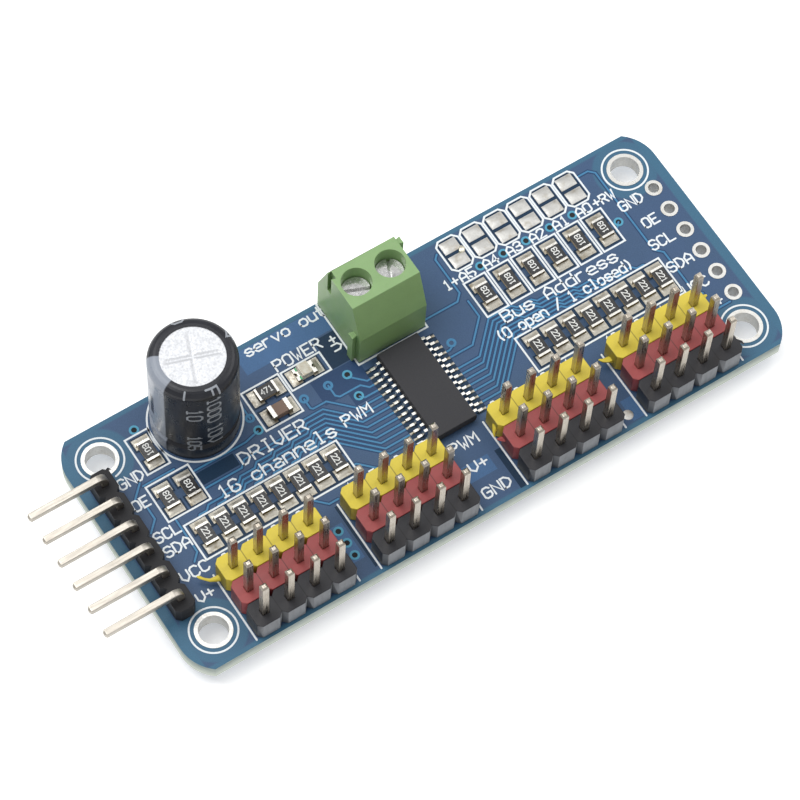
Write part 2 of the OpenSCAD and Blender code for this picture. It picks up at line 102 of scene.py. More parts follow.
class Shader:
    """One node material. A value that is the same all over is set on the shader's own socket."""

    def __init__(self, name, color, roughness=0.5, metallic=0.0, **sockets):
        self.material = bpy.data.materials.new(name)
        self.material.use_nodes = True
        self.tree = self.material.node_tree
        self.tree.nodes.clear()
        self.bsdf = self.new("BsdfPrincipled")
        self.tree.links.new(self.bsdf.outputs[0], self.new("OutputMaterial").inputs[0])
        self.place = self.new("TexCoord").outputs["Object"]
        self.put("Base Color", color)
        self.put("Roughness", roughness)
        self.put("Metallic", metallic)
        for socket, value in sockets.items():
            words = ["IOR" if word == "ior" else word.capitalize() for word in socket.split("_")]
            self.put(" ".join(words), value)

    def new(self, kind):
        return self.tree.nodes.new("ShaderNode" + kind)

    def feed(self, socket, value):
        if isinstance(value, bpy.types.NodeSocket):
            self.tree.links.new(value, socket)
        elif socket.type == "RGBA":
            socket.default_value = (*value, 1)
        else:
            socket.default_value = value

    def put(self, name, value):
        self.feed(self.bsdf.inputs[name], value)

    def color(self):
        """The socket that feeds the base colour."""
        return self.bsdf.inputs["Base Color"].links[0].from_socket

    def noise(self, size, detail=2.0, stretch=(1, 1, 1)):
        """Noise from 0 to 1 whose patches are about size across, longer along the stretched axes."""
        mapping = self.new("Mapping")
        self.feed(mapping.inputs["Scale"], [1 / s for s in stretch])
        self.feed(mapping.inputs["Vector"], self.place)
        node = self.new("TexNoise")
        for name, value in (("Vector", mapping.outputs[0]), ("Scale", 1 / size), ("Detail", detail)):
            self.feed(node.inputs[name], value)
        return node.outputs["Fac"]

    def math(self, operation, a, b=0.0):
        node = self.new("Math")
        node.operation = operation
        self.feed(node.inputs[0], a)
        self.feed(node.inputs[1], b)
        return node.outputs[0]

    def remap(self, value, low, high, to_low=0.0, to_high=1.0):
        node = self.new("MapRange")
        for socket, v in zip(node.inputs, (value, low, high, to_low, to_high)):
            self.feed(socket, v)
        return node.outputs[0]

    def mix(self, share, a, b):
        node = self.new("Mix")
        node.data_type = "RGBA"
        self.feed(node.inputs[0], share)
        self.feed(node.inputs[6], a)
        self.feed(node.inputs[7], b)
        return node.outputs[2]

    def split(self, vector):
        node = self.new("SeparateXYZ")
        self.feed(node.inputs[0], vector)
        return list(node.outputs)

    def facing(self, axis):
        """How squarely the surface faces along X, Y or Z, from 0 to 1."""
        return self.math("ABSOLUTE", self.split(self.new("NewGeometry").outputs["Normal"])[axis])

    def distance(self, a, b):
        return self.math("ABSOLUTE", self.math("SUBTRACT", a, b))

    def bump(self, height, strength, depth):
        node = self.new("Bump")
        for name, value in (("Strength", strength), ("Distance", depth), ("Height", height)):
            self.feed(node.inputs[name], value)
        self.put("Normal", node.outputs[0])


def shade(color, amount):
    return [min(1.0, c * amount) for c in color]


def plastic(name, color, roughness=0.42, grain=0.12 * MM, vary=0.12, bump=0.25, **sockets):
    """Moulded plastic: faint clouds of colour, fine grain and an uneven satin gloss."""
    s = Shader(name, color, roughness, **sockets)
    clouds = s.noise(1.6 * MM, 3)
    fine = s.noise(grain, 2)
    base = s.mix(s.remap(clouds, 0.3, 0.7), shade(color, 1 - vary), shade(color, 1 + vary))
    base = s.mix(s.remap(fine, 0.35, 0.65, 0.0, 0.5), base, shade(color, 1 + 1.5 * vary))
    s.put("Base Color", base)
    s.put("Roughness", s.remap(clouds, 0.3, 0.7, roughness - 0.07, roughness + 0.08))
    s.bump(fine, bump, 0.02 * MM)
    return s


def strip_plastic(name, color, roughness, vary, side_sheen=None, **sockets):
    """Header plastic whose long sides can carry a streaked painted reflection, with a fine line of painted
    shade where each unit meets the next.
    """
    s = plastic(name, color, roughness, vary=vary, **sockets)
    # Painted shade: a fine dark line across the strip at each boundary between units, in place of the shade
    # in the notch there.
    pitch = signal_pin_x[1] - signal_pin_x[0]
    first_line = signal_pin_x[0] - pitch / 2
    from_line = s.math("PINGPONG", s.math("SUBTRACT", s.split(s.place)[0], first_line), pitch / 2)
    line = s.remap(from_line, 0.02 * MM, 0.07 * MM, 0.75, 0.0)
    # Painted reflection: the long sides, facing along Y, are mixed in streaks towards a lighter colour,
    # where one is given.
    streaks = s.remap(s.noise(0.25 * MM, 3, (1, 1, 8)), 0.3, 0.7, 0.75, 1.0)
    share = s.math("MULTIPLY", s.remap(s.facing(1), 0.6, 0.9), streaks)
    side_sheened = s.mix(share, s.color(), side_sheen or color)
    s.put("Base Color", s.mix(line, side_sheened, shade(color, 0.25)))
    return s


def metal(name, color, roughness=0.28, stretch=(1, 1, 1), dull=(0.45, 0.36, 0.24), dullness=0.35,
          bump=0.2):
    """Plated metal: drawn streaks, patches of duller tone and uneven gloss."""
    s = Shader(name, color, roughness, 1.0)
    streaks = s.noise(0.16 * MM, 3, stretch)
    patches = s.noise(0.7 * MM, 3)
    base = s.mix(s.remap(patches, 0.52, 0.75, 0.0, dullness), color, dull)
    base = s.mix(s.remap(streaks, 0.4, 0.7, 0.0, 0.25), base, shade(color, 0.72))
    s.put("Base Color", base)
    s.put("Roughness", s.remap(streaks, 0.3, 0.7, roughness - 0.09, roughness + 0.14))
    s.bump(streaks, bump, 0.02 * MM)
    return s


def mask(name, color, deep=None, share=0.35, roughness=0.34):
    """Solder mask: glossy film over laminate or copper with a fine speckle."""
    s = Shader(name, color, roughness, specular_ior_level=0.18)
    speckle = s.noise(0.085 * MM, 2)
    clouds = s.noise(3 * MM, 3)
    base = s.mix(s.remap(clouds, 0.35, 0.65, 0.0, share), color, deep or shade(color, 0.8))
    base = s.mix(s.remap(speckle, 0.4, 0.62, 0.0, 0.45), base, shade(color, 1.4))
    s.put("Base Color", base)
    s.bump(speckle, 0.25, 0.012 * MM)
    return s


POUR = (0.046, 0.084, 0.155)
BARE = (0.047, 0.125, 0.20)
LAMINATE = (0.29, 0.34, 0.32)


def board_material():
    """Slate mask over the copper, teal where there is none, and pale laminate on the cut edges."""
    s = mask("solder_mask", POUR, deep=(0.05, 0.09, 0.19))
    x, y, z = s.split(s.place)
    far_x = s.math("SUBTRACT", s.math("ABSOLUTE", x), board_hi.x - 0.95 * MM)
    far_y = s.math("SUBTRACT", s.math("ABSOLUTE", y), board_hi.y - 0.45 * MM)
    border = s.remap(s.math("MAXIMUM", far_x, far_y), -0.08 * MM, 0.08 * MM)
    hole = middle(solids("hole_plating")[-1])
    aside = [s.distance(s.math("ABSOLUTE", a), b) for a, b in ((x, hole.x), (y, hole.y))]
    away = s.math("SQRT", s.math("ADD", *[s.math("POWER", a, 2.0) for a in aside]))
    corner = s.remap(away, 2.9 * MM, 3.1 * MM, 0.85, 0.0)
    speckle = s.noise(0.085 * MM, 2)
    teal = s.mix(s.remap(speckle, 0.4, 0.62, 0.0, 0.3), BARE, shade(BARE, 1.4))
    faces = s.mix(s.math("MAXIMUM", border, corner), s.color(), teal)
    layers = s.noise(0.12 * MM, 3, (9, 9, 0.6))
    fibre = s.mix(s.remap(layers, 0.3, 0.7), shade(LAMINATE, 0.6), shade(LAMINATE, 1.2))
    fibre = s.mix(s.remap(z, BOTTOM + 0.2 * MM, TOP - 0.25 * MM, 0.75, 0.0), fibre, (0.66, 0.70, 0.62))
    side = s.remap(s.facing(2), 0.4, 0.6, 1.0, 0.0)
    s.put("Base Color", s.mix(side, faces, fibre))
    s.put("Roughness", s.remap(side, 0.0, 1.0, 0.34, 0.75))
    return s


def sleeve_material(axis):
    """Shrunk black film with a pale stripe down the side that marks the negative lead."""
    s = plastic("sleeve_film", (0.0115, 0.0125, 0.017), 0.3, vary=0.25, bump=0.12, specular_ior_level=0.35)
    x, y, z = s.split(s.place)
    turn = s.math("ARCTAN2", s.math("SUBTRACT", y, axis.y), s.math("SUBTRACT", x, axis.x))
    stripe_middle = math.radians(174)
    off = s.math("PINGPONG", s.math("SUBTRACT", turn, stripe_middle), math.pi)
    stripe = s.remap(off, math.radians(25), math.radians(27), 1.0, 0.0)
    dash = s.remap(s.distance(z, axis.z + 0.4 * MM), 1.5 * MM, 1.6 * MM, 1.0, 0.0)
    dash = s.math("MULTIPLY", dash, s.remap(off, math.radians(4), math.radians(5), 1.0, 0.0))
    grey = s.mix(dash, (0.235, 0.26, 0.305), (0.03, 0.032, 0.04))
    s.put("Base Color", s.mix(stripe, s.color(), grey))
    return s


def lens_material():
    s = Shader("clear_resin", (0.66, 0.61, 0.49), 0.18, transmission_weight=0.25, ior=1.5, coat_weight=0.4)
    cloud = s.noise(0.35 * MM, 3)
    s.put("Base Color", s.mix(s.remap(cloud, 0.35, 0.65), (0.62, 0.56, 0.43), (0.8, 0.78, 0.68)))
    s.bump(cloud, 0.15, 0.02 * MM)
    return s


def end_material():
    """Plated ends of the chip parts: bright on top, with painted shade in a dark tan on the faces that
    stand up.
    """
    s = metal("end_plating", (0.74, 0.725, 0.68), 0.32, dull=(0.55, 0.47, 0.33), dullness=0.25)
    # Painted shade: faces that stand up are darkened to a dark tan.
    upright_shade = s.remap(s.facing(2), 0.4, 0.7, 1.0, 0.0)
    s.put("Base Color", s.mix(upright_shade, s.color(), (0.23, 0.185, 0.115)))
    return s


def paint(name, color, roughness=0.55):
    """Printed ink: slightly thin in places."""
    s = Shader(name, color, roughness)
    thin = s.noise(0.12 * MM, 2)
    s.put("Base Color", s.mix(s.remap(thin, 0.35, 0.6, 0.22, 0.0), color, shade(color, 0.6)))
    s.bump(thin, 0.15, 0.01 * MM)
    return s


LOOK = {
    "board": board_material(),
    "trace": mask("mask_on_trace", (0.055, 0.185, 0.335), share=0.2),
    # Used beside the tracks, and also as painted shade on the board.
    "gap": mask("mask_beside_trace_and_painted_shade", (0.022, 0.05, 0.115), share=0.2),
    "power": mask("mask_on_power", (0.055, 0.122, 0.245)),
    "navy": mask("mask_without_copper", (0.011, 0.03, 0.062), share=0.3),
    "ring": mask("mask_on_ring", (0.075, 0.28, 0.41), share=0.2),
    # Painted shade for the open vias' holes.
    "dark": plastic("painted_hole_shade", (0.006, 0.007, 0.009), 0.8, vary=0.3),
    "silk": paint("silkscreen", (0.74, 0.78, 0.80)),
    "code": paint("code_ink", (0.72, 0.73, 0.71)),
    "cap_ink": paint("sleeve_ink", (0.27, 0.29, 0.32)),
    "yellow": strip_plastic("yellow_plastic", (0.60, 0.48, 0.04), 0.5, 0.06),
    "red": strip_plastic("red_plastic", (0.29, 0.05, 0.05), 0.45, 0.08),
    # The pale grey here is painted reflection on the strips' long sides.
    "black": strip_plastic("black_plastic", (0.017, 0.017, 0.021), 0.42, 0.2, (0.15, 0.16, 0.175),
                           specular_ior_level=0.35),
    "side_black": plastic("side_strip_plastic", (0.0105, 0.0105, 0.0125), 0.55, vary=0.2,
                          specular_ior_level=0.3),
    "green": plastic("green_plastic", (0.20, 0.33, 0.135), 0.4, vary=0.06, bump=0.18,
                     subsurface_weight=0.12, subsurface_radius=(0.0006, 0.0012, 0.0004)),
    "pin": metal("pin_plating", (0.47, 0.425, 0.36), 0.28, (1, 1, 14), (0.30, 0.23, 0.14)),
    "side_pin": metal("side_pin_plating", (0.46, 0.43, 0.38), 0.38, (14, 1, 1), (0.42, 0.37, 0.30)),
    "lead": metal("lead_plating", (0.92, 0.90, 0.84), 0.26, (5, 1, 1), dullness=0.2),
    "pad": metal("dull_tin", (0.41, 0.39, 0.34), 0.42, dull=(0.17, 0.13, 0.07), dullness=0.8),
    "tin": metal("tinned_copper", (0.62, 0.615, 0.59), 0.4, dull=(0.42, 0.37, 0.28)),
    "jumper": metal("jumper_plating", (0.50, 0.495, 0.475), 0.42, dull=(0.27, 0.22, 0.14),
                    dullness=0.55),
    "alumina": plastic("alumina", (0.36, 0.29, 0.19), 0.55, vary=0.15),
    "solder": metal("solder", (0.80, 0.80, 0.80), 0.22, dull=(0.5, 0.43, 0.3), dullness=0.5),
    "cap_end": end_material(),
    "chip": plastic("chip_epoxy", (0.034, 0.034, 0.038), 0.62, grain=0.09 * MM, vary=0.1, bump=0.5,
                    specular_ior_level=0.25),
    "glaze": plastic("resistor_glaze", (0.020, 0.020, 0.021), 0.3, vary=0.2),
    "ceramic": plastic("brown_ceramic", (0.155, 0.098, 0.070), 0.5, vary=0.1),
    "led_base": plastic("led_laminate", (0.55, 0.52, 0.42), 0.5),
    "led_green": plastic("led_mark", (0.02, 0.36, 0.13), 0.4),
    "lens": lens_material(),
    "can": metal("brushed_aluminium", (0.66, 0.67, 0.69), 0.62, dull=(0.61, 0.62, 0.65), dullness=0.2,
                 bump=0.06),
    "rubber": plastic("rubber", (0.02, 0.02, 0.02), 0.75, vary=0.2),
    "foil": metal("wound_foil", (0.72, 0.70, 0.62), 0.4, (1, 1, 6)),
    "screw": metal("screw_plating", (0.70, 0.70, 0.69), 0.16, dull=(0.24, 0.25, 0.25), dullness=0.5,
                   bump=0.02),
    "clamp": metal("clamp_plating", (0.70, 0.70, 0.68), 0.3),
    "contact": metal("contact_plating", (0.78, 0.74, 0.62), 0.32),
}

# Look of each node by how its name starts
NODE_LOOK = {
    "board": "board", "hole_plating": "tin", "spare_hole": "tin", "pin_hole": "tin", "surface_pads": "pad",
    "jumper_pads": "jumper", "signal_pins": "pin", "power_pins": "pin", "ground_pins": "pin",
    "capacitor_leads": "pin", "signal_strip": "yellow", "power_strip": "red", "ground_strip": "black",
    "control_strip": "side_black", "control_pins": "side_pin", "chip_body": "chip", "chip_leads": "lead",
    "capacitor_seal": "rubber", "capacitor_winding": "foil",
    "terminal_housing": "green", "terminal_screw": "screw", "terminal_clamp": "clamp",
    "terminal_contact": "contact", "led_body": "led_base", "led_lens": "lens",
    "bypass_capacitor": "ceramic",
}
# Width of the softened edges, in millimetres
BEVEL = {
    "signal_strip": 0.06, "power_strip": 0.06, "ground_strip": 0.06, "control_strip": 0.04,
    "chip_body": 0.06, "terminal_housing": 0.12, "terminal_screw": 0.1, "terminal_clamp": 0.08,
    "control_pins": 0.05, "signal_pins": 0.03, "power_pins": 0.03, "ground_pins": 0.03,
    "led_lens": 0.06, "bypass_capacitor": 0.06, "output_resistors": 0.04, "jumper_pads": 0.02,
}


def starting(table, node):
    """The value of the first key in a table that a node's name starts with."""
    return next((v for k, v in table.items() if node.startswith(k)), None)


def dress(node, look):
    node.data.materials.clear()
    node.data.materials.append(look.material)


def dress_cad_nodes():
    """Gives each carried-over CAD node its material, and the moulded and cut ones softer edges."""
    for name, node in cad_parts.items():
        end = name.endswith("_ends")
        dress(node, LOOK["cap_end" if end else starting(NODE_LOOK, name) or "alumina"])
        width = starting(BEVEL, name)
        if width and not end:
            weld = node.modifiers.new("weld", "WELD")
            weld.merge_threshold = 1e-6
            bevel = node.modifiers.new("soft_edges", "BEVEL")
            bevel.width = width * MM
            bevel.segments = 3 if name.startswith("terminal_screw") else 2
            bevel.limit_method = "ANGLE"
            bevel.angle_limit = math.radians(35)


# Mesh building


def circle(centre, radius, count, start=0.0, sweep=2 * math.pi, lobes=None):
    """Points round a centre. With lobes, each point's radius is scaled by its own lobe."""
    turns = [start + sweep * i / count for i in range(count)]
    scales = lobes or [1.0] * count
    return [(centre[0] + radius * k * math.cos(t), centre[1] + radius * k * math.sin(t))
            for t, k in zip(turns, scales)]


def cut_rectangle(x0, y0, x1, y1, cut):
    """A rectangle whose corners are cut off."""
    return [(x0 + cut, y0), (x1 - cut, y0), (x1, y0 + cut), (x1, y1 - cut), (x1 - cut, y1), (x0 + cut, y1),
            (x0, y1 - cut), (x0, y0 + cut)]


class Piece:
    """Collects closed meshes for one piece."""

    def __init__(self):
        self.bm = bmesh.new()

    def loft(self, rings):
        """Skins a list of rings of points, all of one length, and caps both ends."""
        made = [[self.bm.verts.new(p) for p in ring] for ring in rings]
        count = len(rings[0])
        for a, b in zip(made, made[1:]):
            for i in range(count):
                j = (i + 1) % count
                self.bm.faces.new((a[i], a[j], b[j], b[i]))
        self.bm.faces.new(list(reversed(made[0])))
        self.bm.faces.new(made[-1])

    def prism(self, outline, z0, z1):
        self.loft([[(x, y, z0) for x, y in outline], [(x, y, z1) for x, y in outline]])

    def slab(self, x0, y0, x1, y1, top):
        """A rectangle that stands on the board."""
        self.prism([(x0, y0), (x1, y0), (x1, y1), (x0, y1)], TOP, top)

    def band(self, outer, inner, z0, z1):
        """A flat closed band between two loops of as many points."""
        (o0, i0), (o1, i1) = [[[self.bm.verts.new((x, y, z)) for x, y in loop] for loop in (outer, inner)]
                              for z in (z0, z1)]
        count = len(outer)
        for a in range(count):
            b = (a + 1) % count
            self.bm.faces.new((o1[a], o1[b], i1[b], i1[a]))
            self.bm.faces.new((o0[b], o0[a], i0[a], i0[b]))
            self.bm.faces.new((o0[a], o0[b], o1[b], o1[a]))
            self.bm.faces.new((i0[b], i0[a], i1[a], i1[b]))

    def ring(self, centre, inner, outer, z0, z1, start=0.0, sweep=2 * math.pi, count=48):
        """A flat ring, or a part of one."""
        if sweep >= 2 * math.pi:
            self.band(circle(centre, outer, count), circle(centre, inner, count), z0, z1)
            return
        path = circle(centre, (outer + inner) / 2, count + 1, start, sweep * (count + 1) / count)
        self.ribbon(path, outer - inner, z0, z1)

    def ribbon(self, points, width, z0, z1, longest=None):
        """A flat strip of one width along a path, with mitred bends and round ends.
        Its straights are divided where they are longer than the longest piece allowed."""
        half = width / 2
        path = [Vector(p) for p in points]
        if longest:
            path = [a.lerp(b, k / n) for a, b in zip(path, path[1:])
                    for n in [max(1, math.ceil((b - a).length / longest))] for k in range(n)] + path[-1:]
        steps = [(b - a).normalized() for a, b in zip(path, path[1:])]
        sections = []
        for i, p in enumerate(path):
            before, after = steps[max(i - 1, 0)], steps[min(i, len(steps) - 1)]
            across = Vector((-before.y - after.y, before.x + after.x))
            across = across.normalized() if across.length > 1e-6 else Vector((-after.y, after.x))
            reach = half / max(across.dot(Vector((-after.y, after.x))), 0.55)
            sections.append((p + across * reach, p - across * reach))

        def cap(p, forward):
            side = Vector((-forward.y, forward.x))
            for turn in (0.55, 1.05, 1.45):
                tip, wide = p + forward * half * math.sin(turn), side * half * math.cos(turn)
                yield tip + wide, tip - wide

        first = [(b, a) for a, b in cap(path[0], -steps[0])][::-1]
        sections = first + sections + list(cap(path[-1], steps[-1]))
        self.loft([[(*a, z0), (*b, z0), (*b, z1), (*a, z1)] for a, b in sections])

    def heap(self, x0, x1, y0, y1, z0, height, across=8, along=8):
        """A solid on a rectangle whose top is at z0 + height(u, v), with u and v from 0 to 1."""
        def point(i, j, top):
            u, v = i / across, j / along
            lift = max(height(u, v), 0.002 * MM) if top else 0.0
            return self.bm.verts.new((x0 + (x1 - x0) * u, y0 + (y1 - y0) * v, z0 + lift))

        low, high = [[[point(i, j, top) for j in range(along + 1)] for i in range(across + 1)]
                     for top in (False, True)]
        for i in range(across):
            for j in range(along):
                self.bm.faces.new((high[i][j], high[i + 1][j], high[i + 1][j + 1], high[i][j + 1]))
                self.bm.faces.new((low[i][j + 1], low[i + 1][j + 1], low[i + 1][j], low[i][j]))
        rim = [(i, 0) for i in range(across)] + [(across, j) for j in range(along)]
        rim += [(across - i, along - j) for i, j in rim]
        for (a, b), (c, d) in zip(rim, rim[1:] + rim[:1]):
            self.bm.faces.new((low[a][b], low[c][d], high[c][d], high[a][b]))

    def turned(self, centre, profile, count=24, uneven=0.0):
        """A solid turned about a vertical axis from (radius, z) pairs, a little uneven if asked."""
        lobes = [1 + uneven * draw.uniform(-1, 1) for _ in range(count)]
        smooth = [(lobes[i - 1] + lobes[i] + lobes[(i + 1) % count]) / 3 for i in range(count)]
        self.loft([[(x, y, z) for x, y in circle(centre, r, count, lobes=smooth)] for r, z in profile])

    def warp(self, move):
        for v in self.bm.verts:
            v.co = move(v.co)

    def take(self, other):
        """Adds another piece's meshes to this one."""
        copies = {v: self.bm.verts.new(v.co) for v in other.bm.verts}
        for face in other.bm.faces:
            self.bm.faces.new([copies[v] for v in face.verts])
        other.bm.free()

    def done(self, name, look, slot="solder_mask_board", smooth=False, replaces=()):
        """Makes the object, which rides on the board."""
        bmesh.ops.recalc_face_normals(self.bm, faces=self.bm.faces)
        mesh = bpy.data.meshes.new(name)
        self.bm.to_mesh(mesh)
        self.bm.free()
        mesh.materials.append(LOOK[look].material)
        piece = bpy.data.objects.new(name, mesh)
        bpy.context.scene.collection.objects.link(piece)
        if smooth:
            mesh.polygons.foreach_set("use_smooth", [True] * len(mesh.polygons))
            mesh.set_sharp_from_angle(angle=math.radians(50))
        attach(piece, "circuit_board")
        if replaces:
            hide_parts(*replaces)


def in_mm(points):
    return [tuple(v * MM for v in p) for p in points]


# Board artwork

GAP_TOP = TOP + 0.004 * MM
TRACE_TOP = TOP + 0.02 * MM
SILK_TOP = TOP + 0.032 * MM
TRACE_WIDTH = 0.17 * MM
GAP_WIDTH = 0.4 * MM
SILK_WIDTH = 0.17 * MM

# Strokes of a plain engraving alphabet: pairs of digits are X and Y on a grid 4 wide and 6 high,
# with Y of 8 standing for 2 below the line.
STROKES = {
    "0": "010516364541301001", "1": "152620 1030", "2": "05163645440040",
    "3": "0516364544334241301001 1333", "4": "30360242", "5": "46060333424130 1001",
    "6": "45361605011030414233 1302", "7": "064610",
    "8": "13040516364544331302011030414233", "9": "0110304145361605041343", "A": "0004264440 0242",
    "B": "00063645443342413000 0333", "C": "4536160501103041", "D": "00062644422000", "E": "46060040 0333",
    "F": "460600 0333", "G": "45361605011030414323", "I": "2026 1636 1030", "L": "060040",
    "M": "0006234640", "N": "00064046", "O": "010516364541301001", "P": "00063645443303",
    "R": "00063645443303 2340", "S": "453616050413334241301001", "V": "0602204246", "W": "0610233046",
    "a": "1434434010011242", "c": "4334140301103041", "d": "46401001031444",
    "e": "024243341403011040", "h": "0600 0314344340", "l": "162620 1030",
    "n": "0004 0314344340", "o": "010314344341301001", "p": "0408 043443413000", "r": "0004 031434",
    "s": "43341403123241301001", "t": "16112030 0434", "u": "0401103041 4440", "v": "042044",
    " ": "", "+": "0343 2125", "-": "0343", "(": "36242230", ")": "16242210", "/": "0046",
}


def write(piece, words, x, y, height, advance, width=SILK_WIDTH, z0=TOP, z1=SILK_TOP, turned=False,
          longest=None):
    """Writes words from their lower left corner, in metres. A turned line reads upwards."""
    unit_x, unit_y = advance * 0.185, height / 6
    for i, letter in enumerate(words):
        for k, stroke in enumerate(STROKES[letter].split()):
            path = []
            for across, up in zip(stroke[::2], stroke[1::2]):
                a = i * advance + int(across) * unit_x
                b = (-2 if up == "8" else int(up)) * unit_y
                path.append((x - b, y + a) if turned else (x + a, y + b))
            piece.ribbon(path, width, z0, z1 + k * 0.001 * MM, longest)


def frame_box(piece, x0, y0, x1, y1, cut=0.0):
    """The printed outline of a rectangle, with its corners cut if asked."""
    def loop(grow):
        k = cut + grow * 0.414 if cut else 0.02 * MM
        return cut_rectangle(x0 - grow, y0 - grow, x1 + grow, y1 + grow, k)
    piece.band(loop(SILK_WIDTH / 2), loop(-SILK_WIDTH / 2), TOP, SILK_TOP)


lead_rows = sorted({round(middle(b).y, 6) for b in solids("chip_leads")})
lead_right = max(b[1].x for b in solids("chip_leads"))
lead_left = min(b[0].x for b in solids("chip_leads"))
output_parts = solids("output_resistors")
left_parts, right_parts = output_parts[:8], output_parts[8:]
address_parts = solids("address_resistors")
pad_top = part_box("surface_pads")[1].z
film_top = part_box("output_resistor_ends")[1].z + 0.015 * MM


def fan(side, rows, parts, first_bend, lowest, step):
    """The tracks from one side of the chip to the output resistors on that side.
    They leave level, climb at 45 degrees, run out level and drop one step at each resistor passed."""
    paths = []
    outward = sorted(parts, key=lambda b: side * middle(b).x)
    start = lead_right if side > 0 else lead_left
    for k, row in enumerate(rows):
        y = lead_rows[row]
        target = len(outward) - 1 - k
        bend = side * (first_bend + 0.06 * target) * MM
        level = (lowest + step * target) * MM
        path = [(start, y), (bend, y), (bend + side * (level - y), level)]
        for passed in range(target):
            x = middle(outward[passed]).x + side * 0.25 * MM
            if side * x < side * path[-1][0]:
                continue
            drop = step * MM
            path += [(x, level), (x + side * drop, level - drop)]
            level -= drop
        end = middle(outward[target]).x
        path += [(end - side * (level + 0.1 * MM), level), (end, -0.1 * MM)]
        paths.append(path)
    return paths


# Single tracks, in millimetres
LOOSE_TRACKS = [
    [(-3.3, 2.42), (-4.9, 2.42), (-5.25, 2.77)],
    [(-3.3, 3.07), (-4.0, 3.07), (-4.6, 3.67), (-6.75, 3.67), (-7.05, 3.97), (-7.05, 5.12)],
    [(-3.3, 3.72), (-3.85, 3.72), (-5.05, 4.92)],
    [(-3.3, 1.77), (-5.9, 1.77), (-8.03, 3.9), (-9.4, 3.9), (-9.58, 4.08), (-9.58, 5.12)],
    [(3.3, 2.42), (4.1, 2.42), (4.45, 2.6)],
    [(3.3, 1.77), (6.1, 1.77), (8.2, 3.87), (8.2, 5.7)],
    [(3.7, 6.15), (7.35, 6.15), (8.0, 6.8), (8.0, 10.8), (8.4, 11.2)],
    [(23.4, 11.2), (24.95, 11.2), (25.45, 10.7), (25.45, 1.2), (26.1, 0.55), (26.1, -3.6)],
    [(-26.15, 5.75), (-27.35, 4.55)],
    [(-26.05, 5.35), (-22.9, 5.35)],
    [(-26.8, 3.6), (-26.8, 2.1), (-27.8, 1.1)],
    [(-21.5, 4.25), (-16.2, 4.25), (-15.6, 4.4), (-14.75, 4.6)],
    [(-21.5, 2.3), (-17.8, 2.3), (-17.2, 2.9), (-13.0, 2.9)],
    [(-25.3, 1.05), (-25.3, -2.5), (-26.0, -3.2)],
    [(-9.7, -2.65), (-9.05, -2.65), (-7.5, -4.2)],
    [(-14.1, -3.75), (-13.15, -4.7), (-12.2, -4.7)],
    [(24.3, -3.2), (25.1, -4.0), (25.9, -4.0), (26.7, -4.8)],
    [(26.1, -7.4), (26.7, -6.8), (28.3, -6.8)],
    [(24.35, 5.31), (23.6, 4.55)],
    [(-14.65, 6.0), (-14.65, 7.7)],
]
OPEN_VIAS = [(-5.03, 5.17), (-5.27, 2.85), (-14.62, 4.66), (-23.92, 10.45), (11.09, 8.12), (13.6, 8.12),
             (16.07, 8.12), (18.68, 8.12), (21.15, 8.12), (24.35, 5.31), (-13.89, -7.35),
             (-13.84, -8.67), (-13.88, -10.0)]
TARGET = (13.99, -11.35)
TENTED_VIAS = [(-7.05, 5.15), (-9.58, 5.15), (-14.65, 6.05), (4.6, 2.95)]
# Areas of the board with another colour, as X and Y of two corners in millimetres
PATCHES = {
    "navy": [(-21.5, 2.65, -17.75, 3.95), (-5.85, 6.3, -3.6, 9.6), (1.95, -12.3, 2.62, -8.0),
             (-12.95, -11.9, -12.6, -5.2)],
    "power": [(-12.6, 9.78, -3.6, 12.2), (-1.75, -9.62, 1.25, -7.92), (-14.5, -10.6, -13.2, -6.75),
              (14.1, -12.1, 15.3, -9.9)],
    # Painted shade: darker mask in the clearance colour on the board near the chip's upper left corner.
    "gap": [(-8.3, 3.55, -3.45, 6.2), (-6.0, 2.1, -3.45, 3.55)],
}


